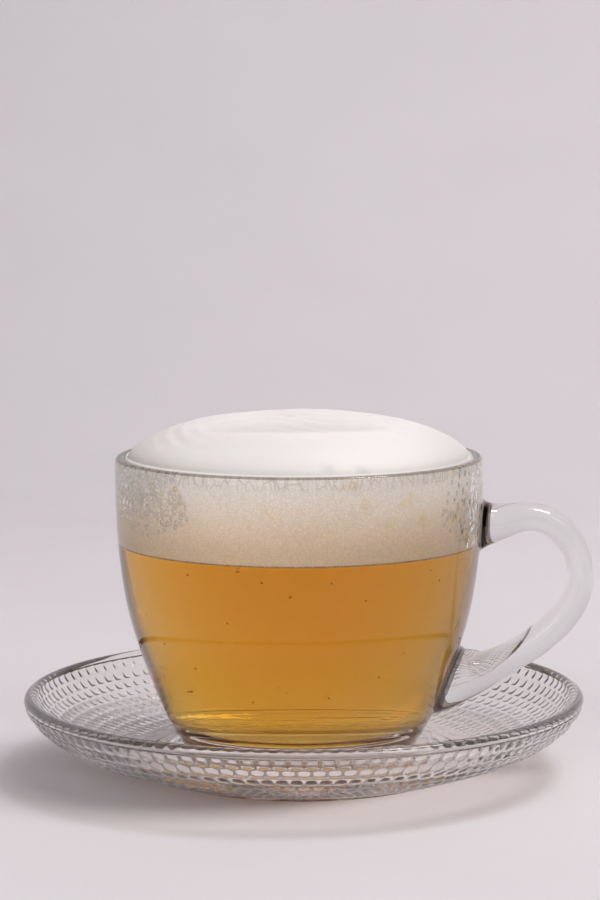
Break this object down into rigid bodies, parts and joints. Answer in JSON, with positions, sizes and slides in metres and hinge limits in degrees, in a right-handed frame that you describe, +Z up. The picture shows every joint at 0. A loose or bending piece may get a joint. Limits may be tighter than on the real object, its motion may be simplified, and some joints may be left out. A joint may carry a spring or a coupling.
{
  "type": "glass cup of pale beer on a saucer",
  "caption": "Clear glass cup with one loop handle, filled with amber beer under a high domed head of foam, standing on a round glass saucer with an oval-bumped underside.",
  "frame": {"origin": "on the surface that the saucer stands on, under the middle of the whole part's box", "axes": "+Z up, +X towards the cup's handle, -Y towards the side that the picture shows"},
  "size_m": [0.1424, 0.14, 0.0886],
  "materials": {
    "cup_glass": "clear pressed soda-lime glass, fire-polished and smooth",
    "saucer_glass": "clear pressed soda-lime glass, smooth above and covered with oval bumps below",
    "beer": "clear golden amber beer with a few tiny bubbles",
    "beer_foam": "dense matt white foam, with larger bubbles against the glass below the rim"
  },
  "bodies": {
    "root": {"cup": "cup_glass", "saucer": "saucer_glass", "drink": "beer", "foam": "beer_foam"}
  },
  "joints": []
}
